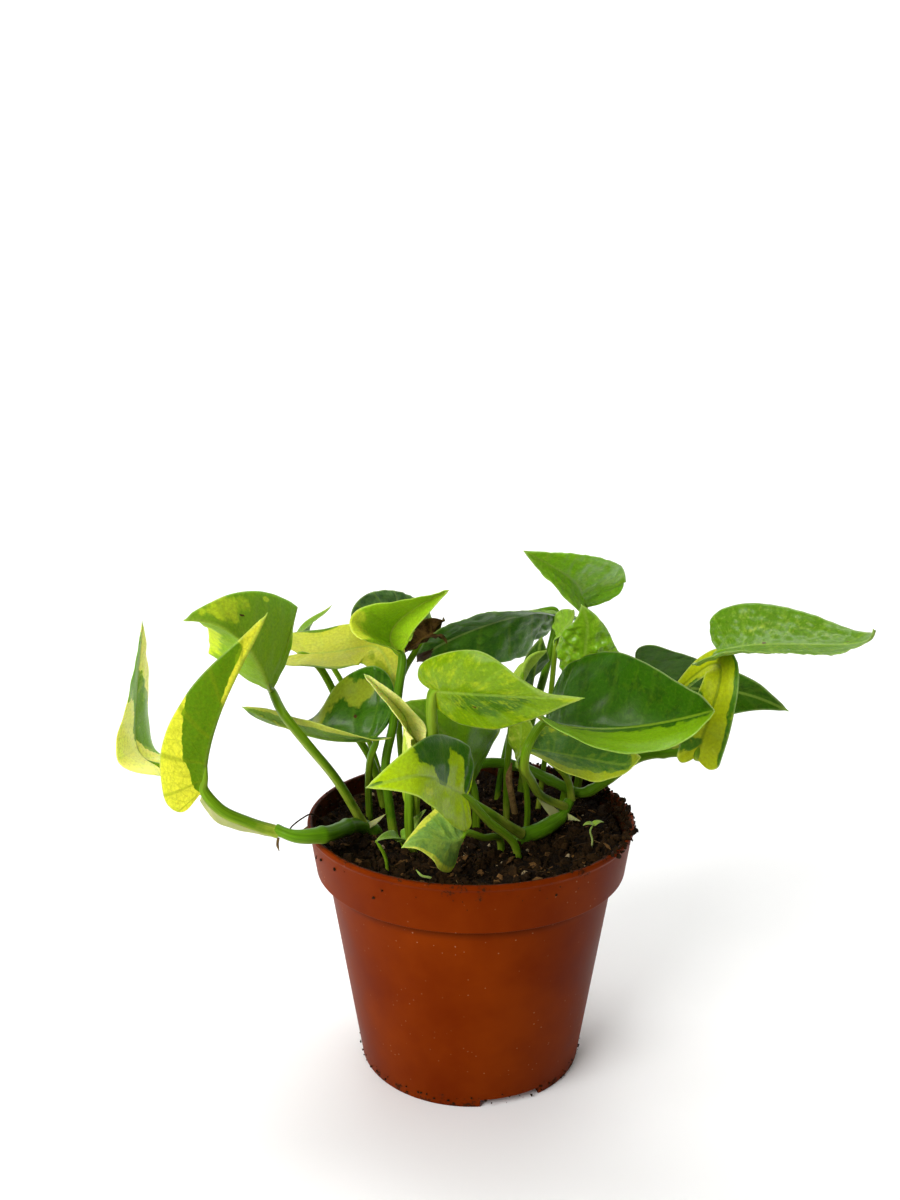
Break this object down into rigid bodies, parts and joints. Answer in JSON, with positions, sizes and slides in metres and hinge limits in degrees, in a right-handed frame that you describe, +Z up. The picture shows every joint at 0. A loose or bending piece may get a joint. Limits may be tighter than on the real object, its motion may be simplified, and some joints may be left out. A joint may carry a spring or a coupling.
{
  "type": "potted pothos plant",
  "caption": "Small trailing houseplant with variegated heart-shaped leaves on arching stalks, growing from peat soil in a round plastic nursery pot.",
  "frame": {"origin": "on the pot's axis, in the plane that its foot ring stands on, which is also the bottom centre of the whole plant's box", "axes": "+Z up along the pot's axis, -Y towards the side that the picture shows, +X to the right of it, along the plant's widest spread"},
  "size_m": [0.259, 0.1256, 0.1926],
  "materials": {
    "pot": "satin moulded terracotta-brown polypropylene",
    "soil": "loose dark peat",
    "stem": "smooth green stem",
    "leaf": "waxy variegated green leaf"
  },
  "bodies": {
    "root": {"pot": "pot", "soil": "soil", "vine_left": "stem", "vine_right": "stem", "vine_trailing": "stem", "leaf_front_small": "leaf", "leaf_front_variegated": "leaf", "leaf_centre": "leaf", "leaf_dark_gloss": "leaf", "leaf_arched_right": "leaf", "leaf_rolled_pale": "leaf", "leaf_left_front": "leaf", "leaf_variegated_low": "leaf", "leaf_top_left": "leaf", "leaf_far_left": "leaf", "leaf_bright_folded": "leaf", "leaf_left_low": "leaf", "leaf_behind_right": "leaf", "leaf_yellow_arch": "leaf", "leaf_young_left": "leaf", "leaf_back_round": "leaf", "leaf_back_long": "leaf", "leaf_far_right": "leaf", "leaf_top_right": "leaf", "leaf_crumpled": "leaf", "leaf_small_crumpled": "leaf", "leaf_bright_behind": "leaf", "leaf_inner_small": "leaf", "leaf_rolled_centre": "leaf", "leaf_back_dark": "leaf"}
  },
  "joints": []
}
